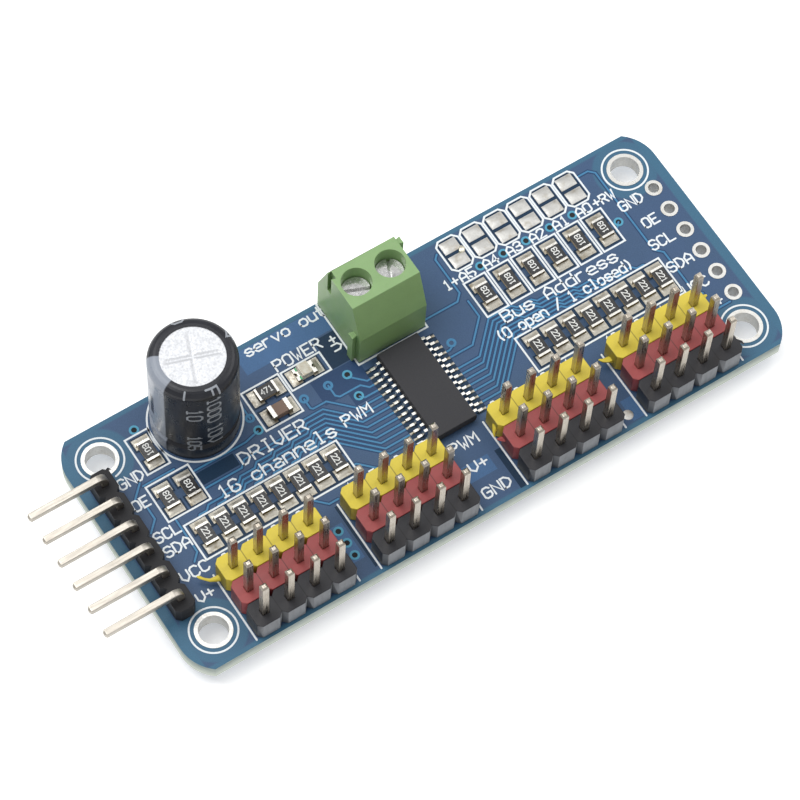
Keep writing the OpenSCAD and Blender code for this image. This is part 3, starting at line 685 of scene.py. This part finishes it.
def board_artwork():
    tracks = [in_mm(path) for path in LOOSE_TRACKS]
    tracks += fan(-1, range(8, 0, -1), left_parts, 6.0, 0.4, 0.43)
    tracks += fan(1, range(7, -1, -1), right_parts, 5.6, 0.45, 0.4)
    gaps, lines = Piece(), Piece()
    for i, path in enumerate(tracks):
        gaps.ribbon(path, GAP_WIDTH, TOP, GAP_TOP + (i % 9) * 0.0004 * MM)
        lines.ribbon(path, TRACE_WIDTH, TOP, TRACE_TOP)
    gaps.done("track_clearances", "gap")
    lines.done("tracks", "trace")
    # The last patches are painted shade.
    for name, look in (("bare_patches", "navy"), ("power_patches", "power"), ("painted_shade_patches", "gap")):
        piece = Piece()
        for corners in in_mm(PATCHES[look]):
            piece.slab(*corners, TOP + 0.003 * MM)
        piece.done(name, look)
    clear = Piece()
    pads = solids("surface_pads")
    for side in (-1, 1):
        row = [b for b in pads if 0 < side * middle(b).x < 4.5 * MM]
        pads = [b for b in pads if b not in row] + [around([p for b in row for p in b])]
    margin = 0.17 * MM
    for k, (lo, hi) in enumerate(pads + solids("jumper_pads")):
        beyond = 0.02 * MM if hi.y - lo.y > 5 * MM else margin
        top = TOP + (0.023 + 0.001 * (k % 3)) * MM
        clear.slab(lo.x - beyond, lo.y - margin, hi.x + beyond, hi.y + margin, top)
    clear.done("pad_clearances", "navy")
    rings, tents, bores, target = Piece(), Piece(), Piece(), Piece()
    for via in in_mm(OPEN_VIAS):
        rings.ring(via, 0.26 * MM, 0.46 * MM, TOP, TRACE_TOP + 0.01 * MM, count=24)
        # Painted shade: a thin near-black disc over each open via's hole.
        bores.turned(via, [(0.27 * MM, TOP), (0.27 * MM, TOP + 0.008 * MM)])
    for via in in_mm(TENTED_VIAS):
        tents.ring(via, 0.22 * MM, 0.46 * MM, TOP, TRACE_TOP + 0.005 * MM, count=24)
    profile = [(0.5 * MM, TOP), (0.5 * MM, TOP + 0.03 * MM), (0.42 * MM, TOP + 0.05 * MM)]
    target.turned(in_mm([TARGET])[0], profile)
    target.done("placing_target", "jumper", "tinned_pad", smooth=True)
    rings.done("via_rings", "ring")
    tents.done("covered_via_rings", "trace")
    bores.done("via_hole_shades", "dark")


def silkscreen():
    silk = Piece()
    for box in [(-25.17, 6.05, -22.85, 9.98), (-25.95, 1.2, -21.65, 5.1), (-25.02, -3.6, -9.35, 0.2),
                (-14.08, 4.2, -10.25, 8.5), (-10.02, 6.35, -5.95, 8.4), (9.65, -3.6, 25.3, 0.3),
                (-3.62, 5.43, 3.66, 12.58)]:
        frame_box(silk, *in_mm([box])[0])
    for part in address_parts:
        x, y = middle(part)[:2]
        frame_box(silk, x - 1.14 * MM, y - 2 * MM, x + 1.14 * MM, y + 1.97 * MM)
    for pad_lo, pad_hi in solids("jumper_pads")[::2]:
        x = (pad_lo.x + pad_hi.x) / 2
        frame_box(silk, x - 1.17 * MM, 8.72 * MM, x + 1.17 * MM, 12.2 * MM, 0.45 * MM)
    for box in solids("hole_plating"):
        hole = middle(box)
        blocked = hole.x < 0 < hole.y
        start, sweep = (math.radians(-80), math.radians(312)) if blocked else (0.0, 2 * math.pi)
        silk.ring(hole, 2.05 * MM, 2.22 * MM, TOP, SILK_TOP, start, sweep)
    can = middle(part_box("capacitor_sleeve"))
    start, sweep = math.radians(114), math.radians(312)
    silk.ring(can, 4.18 * MM, 4.35 * MM, TOP, SILK_TOP, start, sweep, count=96)
    for n in "1234":
        lo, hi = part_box("ground_strip_" + n)[0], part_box("signal_strip_" + n)[1]
        for x in (lo.x - 0.16 * MM, hi.x + 0.16 * MM):
            silk.ribbon([(x, lo.y + 0.15 * MM), (x, hi.y - 0.3 * MM)], SILK_WIDTH, TOP, SILK_TOP)

    # Words, X and Y of their lower left corner, height and advance, in millimetres
    labels = [
        ("GND", -27.85, 5.95, 1.0, 0.86), ("OE", -27.85, 3.5, 1.0, 0.86), ("SCL", -27.8, -0.1, 1.0, 0.86),
        ("SDA", -27.75, -1.7, 1.0, 0.9), ("VCC", -27.75, -4.45, 1.0, 0.95), ("V+", -27.6, -6.8, 0.9, 0.9),
        ("GND", 25.3, 5.95, 1.0, 0.86), ("OE", 26.15, 3.4, 1.0, 0.86), ("SCL", 25.4, 1.15, 1.0, 0.88),
        ("SDA", 25.5, -1.6, 1.0, 0.9), ("VCC", 25.4, -4.3, 1.0, 0.88), ("V+", 26.3, -6.65, 0.9, 0.86),
        ("POWER", -10.1, 8.68, 1.08, 0.99), ("PWM", -7.85, 0.85, 1.05, 1.02),
        ("PWM", -1.3, -6.5, 1.0, 0.98), ("V+", -0.85, -8.85, 0.92, 1.0), ("GND", -1.2, -11.6, 1.0, 1.0),
        ("DRIVER", -17.5, 2.42, 1.2, 1.16), ("16 channels", -20.75, 0.62, 1.2, 1.1),
        ("servo out", -11.6, 11.3, 1.05, 0.95), ("1+", 7.2, 7.55, 0.95, 0.8), ("+RW", 23.45, 7.6, 0.9, 0.8),
        ("Bus Address", 9.9, 2.05, 1.15, 1.14), ("(0 open / 1 closed)", 8.35, 0.68, 1.05, 0.78),
    ]
    for words, *sizes in labels:
        write(silk, words, *[v * MM for v in sizes])
    write(silk, "V+", -3.85 * MM, 7.7 * MM, 0.85 * MM, 0.85 * MM, turned=True)
    for i, part in enumerate(address_parts):
        x = middle(part).x - 1.05 * MM
        write(silk, "A%d" % (5 - i), x, 7.58 * MM, 0.92 * MM, 0.85 * MM)
    advance = 0.62 * MM
    for i, pin_x in enumerate(signal_pin_x):
        x = pin_x - advance * (len(str(i)) - 1) / 2 + 0.1 * MM
        write(silk, str(i), x, -4.72 * MM, 0.85 * MM, advance, 0.13 * MM)
    silk.done("silkscreen", "silk")


# Chip parts


def overcoat(piece, box, along_y):
    """The black film over a chip resistor, between its metal ends."""
    centre = middle(box)
    long, wide, cut = 0.78 * MM, 0.62 * MM, 0.05 * MM
    if not along_y:
        long, wide = wide, long
    outline = cut_rectangle(centre.x - wide, centre.y - long, centre.x + wide, centre.y + long, cut)
    piece.prism(outline, box[1].z - 0.01 * MM, film_top)


def code_on(piece, box, words, along_y, turn_round):
    """Prints a value code on a chip resistor's film, read from its side."""
    centre = middle(box)
    height, advance, width = 0.52 * MM, 0.41 * MM, 0.095 * MM
    length = advance * (len(words) - 0.26)
    code = Piece()
    write(code, words, -length / 2, -height / 2, height, advance, width, film_top, film_top + 0.012 * MM)
    turn = Matrix.Rotation(math.pi / 2 * along_y + math.pi * turn_round, 3, "Z")
    code.warp(lambda p: turn @ p + Vector((centre.x, centre.y, 0)))
    piece.take(code)


def fillets(piece, box, along_y, height=0.17 * MM):
    """Solder that climbs both metal ends of a chip part from its pads."""
    lo, hi = box
    reach, half = 0.52 * MM, 0.7 * MM
    centre = middle(box)
    bury = 0.03 * MM
    for side in (-1, 1):
        lean = draw.uniform(-0.12, 0.12)
        full = height * draw.uniform(0.85, 1.1)

        def level(u, v, lean=lean, full=full, side=side):
            out = v if side > 0 else 1 - v
            edge = 1 - abs(2 * u - 1 + lean) ** 4
            rise = full * math.exp(-4.5 * out) + 0.035 * MM * math.sin(math.pi * min(out * 1.02, 1.0))
            return rise * max(edge, 0.0) + 0.01 * MM

        start = hi[along_y] - bury if side > 0 else lo[along_y] + bury - reach
        if along_y:
            piece.heap(centre.x - half, centre.x + half, start, start + reach, pad_top, level)
        else:
            piece.heap(start, start + reach, centre.y - half, centre.y + half, pad_top,
                       lambda u, v, f=level: f(v, u))


def chip_parts():
    solder, films, codes = Piece(), Piece(), Piece()
    groups = [("output_resistors", "221", True, True), ("address_resistors", "103", True, False),
              ("pullup_resistors", "103", True, False), ("led_resistor", "471", False, False)]
    for node, words, along_y, turn_round in groups:
        for box in solids(node):
            fillets(solder, box, along_y)
            overcoat(films, box, along_y)
            code_on(codes, box, words, along_y, turn_round)
    fillets(solder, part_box("bypass_capacitor"), along_y=False, height=0.3 * MM)
    fillets(solder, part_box("led_ends"), along_y=False, height=0.14 * MM)
    for lo, hi in solids("chip_leads"):
        outward = 1 if middle((lo, hi)).x > 0 else -1
        tip = hi.x if outward > 0 else lo.x
        x0, x1 = sorted((tip - outward * 0.08 * MM, tip + outward * 0.36 * MM))

        def toe(u, v, outward=outward):
            out = u if outward > 0 else 1 - u
            return (0.14 * MM * math.exp(-3 * out) + 0.03 * MM) * (1 - abs(2 * v - 1) ** 3)

        solder.heap(x0, x1, lo.y, hi.y, pad_top, toe, 6, 4)
    films.done("resistor_films", "glaze", "resistor_black")
    solder.done("part_solder", "pad", "solder", smooth=True)
    codes.done("value_codes", "code", "resistor_black")


def chip_mark():
    """The round dimple that marks the chip's first lead."""
    lo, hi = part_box("chip_body")
    dimple = Piece()
    at = (lo.x + 0.75 * MM, hi.y - 0.8 * MM)
    dimple.ring(at, 0.22 * MM, 0.3 * MM, hi.z, hi.z + 0.012 * MM, count=28)
    dimple.done("first_lead_mark", "chip", "chip_epoxy")


def jumper_tin():
    """Uneven tin on the address jumper pads, with a stray bridge on the first one."""
    tin = Piece()
    for lo, hi in solids("jumper_pads"):
        phase = draw.uniform(0, 6)

        def level(u, v, phase=phase):
            crown = (1 - abs(2 * u - 1) ** 4) * (1 - abs(2 * v - 1) ** 4)
            return 0.055 * MM * crown * (1 + 0.35 * math.sin(5 * u + phase) * math.cos(4 * v + phase))

        inset = 0.05 * MM
        tin.heap(lo.x + inset, hi.x - inset, lo.y + inset, hi.y - inset, hi.z, level, 10, 8)
    tin.done("jumper_tin", "jumper", "tinned_pad", smooth=True)
    corner = solids("jumper_pads")[0][1]
    whisker = Piece()
    at = (corner.x - 0.22 * MM, corner.y + 0.16 * MM)
    profile = in_mm([(0.30, 0.0), (0.34, 0.08), (0.26, 0.17), (0.08, 0.21)])
    whisker.turned(at, [(r, TOP + z) for r, z in profile], 14, 0.7)
    whisker.done("stray_tin", "contact", "tinned_pad", smooth=True)


def underside_joints():
    """Solder drawn up the pin tails under the board, each a little different."""
    steps = 7
    for node in ("servo_solder", "control_solder", "terminal_solder", "capacitor_solder"):
        joints = Piece()
        for lo, hi in solids(node):
            r = (hi.x - lo.x) / 2
            deep = (hi.z - lo.z) * draw.uniform(0.85, 1.0)
            profile = [(r * (0.40 + 0.58 * (1 - i / steps) ** 2.2), hi.z - deep * i / steps)
                       for i in range(steps + 1)]
            profile.append((r * 0.12, hi.z - deep * 1.03))
            joints.turned(middle((lo, hi)), profile[::-1], 20, 0.12)
        joints.done(node + "_joints", "solder", "solder", smooth=True, replaces=(node,))


# Capacitor parts


def capacitor():
    lo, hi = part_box("capacitor_can")
    axis = middle((lo, hi))
    outer = (hi.x - lo.x) / 2
    dress(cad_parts["capacitor_sleeve"], sleeve_material(axis))

    arms = [math.radians(-19), math.radians(67.5)]
    groove, depth, reach = 0.17 * MM, 0.10 * MM, 2.6 * MM

    def dip(x, y):
        """Depth of the pressed vent cross at a point, from the axis."""
        deepest = 0.0
        for turn in arms:
            along = x * math.cos(turn) + y * math.sin(turn)
            across = abs(-x * math.sin(turn) + y * math.cos(turn))
            if abs(along) < reach and across < 2 * groove:
                ease = min(1.0, (reach - abs(along)) / (0.3 * MM))
                deepest = max(deepest, depth * ease * 0.5 * (1 + math.cos(math.pi * across / (2 * groove))))
        return deepest

    steps, count = 44, 160
    flat = outer - 0.55 * MM
    rings = []
    for i in range(1, steps + 1):
        level = circle(axis, flat * i / steps, count)
        rings.append([(x, y, hi.z - dip(x - axis.x, y - axis.y)) for x, y in level])
    # Radius in from the wall and depth below the top, in millimetres
    wall = [(0.3, 0.08), (0.08, 0.3), (0, 0.6), (0, 8.5), (0.26, 9.3), (0.26, 9.7), (0, 10.2)]
    profile = [(outer - r * MM, hi.z - z * MM) for r, z in wall] + [(outer, lo.z), (outer - 0.3 * MM, lo.z)]
    rings += [[(x, y, z) for x, y in circle(axis, r, count)] for r, z in profile]
    can = Piece()
    can.loft(rings)
    can.done("vented_can", "can", "capacitor_aluminium", smooth=True, replaces=("capacitor_can",))

    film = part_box("capacitor_sleeve")
    radius = (film[1].x - film[0].x) / 2
    ink = Piece()
    round_r = 0.82 * MM
    flat = radius - round_r - 2.9 * MM
    bend = round_r * math.pi / 2

    def over_rim(p, turn):
        """Lays a flat mark on the film: X runs out from the top opening and down the side."""
        along = p.x - flat
        tilt = min(max(along / round_r, 0.0), math.pi / 2)
        r = radius - round_r + round_r * math.sin(tilt) + (p.z - 0.002 * MM) * math.sin(tilt)
        z = film[1].z - round_r + (round_r + p.z) * math.cos(tilt) - max(along - bend, 0.0)
        angle = turn + p.y / radius
        return Vector((axis.x + r * math.cos(angle), axis.y + r * math.sin(angle), z))

    # Words, their turn in degrees, and their start, height and advance in millimetres
    marks = [("F1000", 257, 0.55, 1.2, 1.15), ("10V", 257, 6.9, 1.3, 1.12), ("10", 231, 3.2, 1.3, 1.12),
             ("105", 231, 8.3, 1.1, 0.95), ("4", -4, 0.55, 1.2, 1.0), ("0", 72, 0.6, 1.1, 1.0),
             ("-", 219, 0.6, 1.2, 1.0)]
    for words, turn, start, height, advance in marks:
        column = Piece()
        write(column, words, start * MM, 0.0, height * MM, advance * MM, 0.19 * MM, 0.0, 0.012 * MM,
              longest=0.2 * MM)
        column.warp(lambda p, turn=math.radians(turn): over_rim(p, turn))
        ink.take(column)
    ink.done("sleeve_marks", "cap_ink", "capacitor_sleeve_film")


# Power light


def light_marks():
    """The green marks at one end of the power light."""
    lo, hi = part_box("led_lens")
    marks = Piece()
    for y in (lo.y, hi.y):
        inner = math.copysign(0.34 * MM, middle((lo, hi)).y - y)
        y0, y1 = sorted((y, y + inner))
        marks.heap(lo.x - 0.12 * MM, lo.x + 0.2 * MM, y0, y1, lo.z,
                   lambda u, v: 0.06 * MM * (1 - abs(2 * u - 1) ** 3), 5, 5)
    marks.done("light_marks", "led_green", "led_base_plastic", smooth=True)


# Header burrs


def tear(name, look, slot, points, radii):
    """A torn thread of plastic where a strip was cut, along points in metres."""
    piece = Piece()
    count = 8
    rings = []
    for i, (p, r) in enumerate(zip(points, radii)):
        a, b = points[max(i - 1, 0)], points[min(i + 1, len(points) - 1)]
        forward = (Vector(b) - Vector(a)).normalized()
        side = forward.cross(Vector((0, 0, 1))).normalized()
        up = side.cross(forward)
        ring = []
        for j in range(count):
            t = 2 * math.pi * j / count
            rough = 1 + draw.uniform(-0.25, 0.25)
            ring.append(Vector(p) + (side * math.cos(t) + up * 0.7 * math.sin(t)) * r * rough)
        rings.append(ring)
    piece.loft(rings)
    piece.done(name, look, slot, smooth=True)


def header_tears():
    """Threads and flakes left on the cut ends of the strips, each measured from its strip's end."""
    colors = {"signal": "yellow", "power": "red", "ground": "black"}
    # Strip, which end, and points out from the end, along Y from its middle and above the board,
    # each with the thread's radius, in millimetres
    plan = [
        ("signal_strip_1", -1, [(-0.1, 0.1, 0.9, 0.34), (0.35, 0.25, 0.75, 0.26), (0.8, 0.42, 0.7, 0.16),
                                (1.15, 0.75, 0.75, 0.12), (1.45, 1.1, 0.8, 0.13), (1.6, 1.3, 0.8, 0.06)]),
        ("signal_strip_3", -1, [(-0.15, -0.5, 1.7, 0.3), (0.15, -0.75, 1.5, 0.22), (0.35, -1.0, 1.3, 0.12),
                                (0.4, -1.2, 1.0, 0.05)]),
        ("signal_strip_4", -1, [(-0.1, -0.2, 0.9, 0.36), (0.35, -0.15, 0.9, 0.3), (0.75, 0.0, 1.0, 0.2),
                                (1.05, 0.25, 1.1, 0.08)]),
        ("signal_strip_4", 1, [(-0.1, 0.2, 1.6, 0.3), (0.25, 0.3, 1.7, 0.22), (0.5, 0.25, 1.8, 0.08)]),
        ("power_strip_1", 1, [(-0.1, -0.6, 1.5, 0.32), (0.3, -0.5, 1.3, 0.24), (0.65, -0.35, 1.1, 0.08)]),
        ("power_strip_3", -1, [(-0.15, 0.5, 1.6, 0.3), (0.2, 0.75, 1.5, 0.2), (0.45, 0.95, 1.3, 0.06)]),
        ("ground_strip_4", 1, [(-0.1, 0.1, 1.5, 0.3), (0.25, 0.15, 1.6, 0.2), (0.5, -0.05, 1.5, 0.14),
                               (0.65, -0.3, 1.3, 0.05)]),
    ]
    for i, (strip, side, thread) in enumerate(plan):
        lo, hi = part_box(strip)
        end = lo.x if side < 0 else hi.x
        y = (lo.y + hi.y) / 2
        look = colors[strip.split("_")[0]]
        points = [(end + side * a * MM, y + b * MM, TOP + c * MM) for a, b, c, _ in thread]
        radii = [t[3] * MM for t in thread]
        tear("tear_%d" % (i + 1), look, look + "_header_plastic", points, radii)
    lo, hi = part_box("control_strip")
    offsets = [(-0.1, -0.1, 1.2), (0.12, -0.05, 1.5), (0.2, -0.3, 1.7)]
    points = [(hi.x + a * MM, hi.y + b * MM, TOP + c * MM) for a, b, c in offsets]
    tear("tear_8", "black", "black_header_plastic", points, [0.22 * MM, 0.14 * MM, 0.04 * MM])


# Under the board

UNDER_TRACKS = [
    [(-27.2, -1.07), (-20.0, -1.07), (-16.5, 2.4), (-6.0, 2.4), (-3.6, 4.8), (2.0, 4.8)],
    [(-27.2, 1.47), (-19.0, 1.47), (-15.6, 4.9), (-8.0, 4.9), (-5.0, 7.9)],
    [(-27.2, 4.01), (-22.0, 4.01), (-20.0, 6.0), (-11.0, 6.0)],
    [(27.4, -1.07), (21.0, -1.07), (17.5, 2.4), (8.0, 2.4), (5.6, 4.8), (2.0, 4.8)],
    [(27.4, 1.47), (20.0, 1.47), (16.6, 4.9), (9.0, 4.9), (6.0, 7.9)],
    [(27.4, 4.01), (23.0, 4.01), (21.0, 6.0), (12.0, 6.0)],
    [(11.09, 8.12), (11.09, 6.9), (21.15, 6.9), (21.15, 8.12)],
]


def underside_artwork():
    low = BOTTOM - 0.02 * MM
    lines, gaps = Piece(), Piece()
    for i, path in enumerate(UNDER_TRACKS):
        lines.ribbon(in_mm(path), 0.3 * MM, low, BOTTOM)
        gaps.ribbon(in_mm(path), 0.6 * MM, BOTTOM - (0.003 + i * 0.0004) * MM, BOTTOM)
    for x in signal_pin_x:
        lines.ribbon([(x, -3.2 * MM), (x, -5.2 * MM)], 0.25 * MM, low, BOTTOM)
    lines.ring((2.0 * MM, 4.8 * MM), 0.1 * MM, 0.5 * MM, low - 0.003 * MM, BOTTOM, count=24)
    lines.done("underside_tracks", "trace")
    gaps.done("underside_clearances", "gap")
    power = Piece()
    strip_lo, strip_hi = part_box("power_strip_1")[0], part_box("power_strip_4")[1]
    y = (strip_lo.y + strip_hi.y) / 2
    power.ribbon([(strip_lo.x, y), (strip_hi.x, y)], 1.1 * MM, BOTTOM - 0.008 * MM, BOTTOM)
    power.done("underside_power", "power")
    silk = Piece()
    for box in solids("hole_plating"):
        silk.ring(middle(box), 2.05 * MM, 2.22 * MM, BOTTOM - 0.03 * MM, BOTTOM)
    mirrored = Piece()
    for words, x, y in (("GND", -25.6, 5.95), ("SCL", -25.6, 0.98), ("SDA", -25.6, -1.55),
                        ("V+", -25.6, -6.6), ("PWM", 1.6, -6.5), ("V+", 1.0, -8.9), ("GND", 1.6, -11.6)):
        write(mirrored, words, -x * MM, y * MM, 1.0 * MM, 0.9 * MM, z0=0.0, z1=0.03 * MM)
    mirrored.warp(lambda p: Vector((-p.x, p.y, BOTTOM - p.z)))
    silk.done("underside_rings", "silk")
    mirrored.done("underside_labels", "silk")


# Stage and camera


def floor_and_lights():
    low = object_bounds()[0].z
    bm = bmesh.new()
    bmesh.ops.create_grid(bm, x_segments=1, y_segments=1, size=1.5)
    mesh = bpy.data.meshes.new("floor")
    bm.to_mesh(mesh)
    bm.free()
    floor = bpy.data.objects.new("floor", mesh)
    floor.location = (0, 0, low - 0.01 * MM)
    paper = Shader("floor_paper", (0.9, 0.9, 0.9), 0.9, emission_color=(1, 1, 1), emission_strength=0.32)
    mesh.materials.append(paper.material)
    bpy.context.scene.collection.objects.link(floor)

    world = bpy.data.worlds.new("studio")
    bpy.context.scene.world = world
    world.use_nodes = True
    sky = world.node_tree.nodes["Background"].inputs
    sky["Color"].default_value = (1.0, 1.0, 1.0, 1)
    sky["Strength"].default_value = 0.66

    for name, place, size, power in (
        ("key", (-0.13, 0.20, 0.46), 0.36, 1.75),
        ("fill", (0.30, 0.02, 0.36), 0.30, 0.55),
    ):
        light = bpy.data.lights.new(name, "AREA")
        light.size = size
        light.energy = power
        lamp = bpy.data.objects.new(name, light)
        lamp.location = place
        lamp.rotation_euler = (-Vector(place)).to_track_quat("-Z", "Y").to_euler()
        bpy.context.scene.collection.objects.link(lamp)


def camera():
    """The view of the photograph: from the front left, high above the board."""
    azimuth, elevation, roll = math.radians(-36.592), math.radians(63.39), math.radians(4.244)
    distance = 319.258 * MM
    target = Vector((-2.396 * MM, 0.578 * MM, TOP))
    level = math.cos(elevation)
    back = Vector((math.sin(azimuth) * level, -math.cos(azimuth) * level, math.sin(elevation)))
    right = (-back).cross(Vector((0, 0, 1))).normalized()
    up = right.cross(-back)
    across = right * math.cos(roll) + up * math.sin(roll)
    upward = up * math.cos(roll) - right * math.sin(roll)
    data = bpy.data.cameras.new("camera")
    data.sensor_width = 36
    data.lens = 162.01
    data.clip_start, data.clip_end = 0.01, 5
    eye = bpy.data.objects.new("camera", data)
    bpy.context.scene.collection.objects.link(eye)
    eye.location = target + back * distance
    turn = [[across[i], upward[i], back[i]] for i in range(3)]
    eye.rotation_mode = "QUATERNION"
    eye.rotation_quaternion = Matrix(turn).to_quaternion()
    bpy.context.scene.camera = eye


camera()
dress_cad_nodes()
board_artwork()
silkscreen()
chip_parts()
chip_mark()
jumper_tin()
underside_joints()
underside_artwork()
capacitor()
light_marks()
header_tears()
floor_and_lights()
bpy.context.scene.view_settings.view_transform = "Standard"
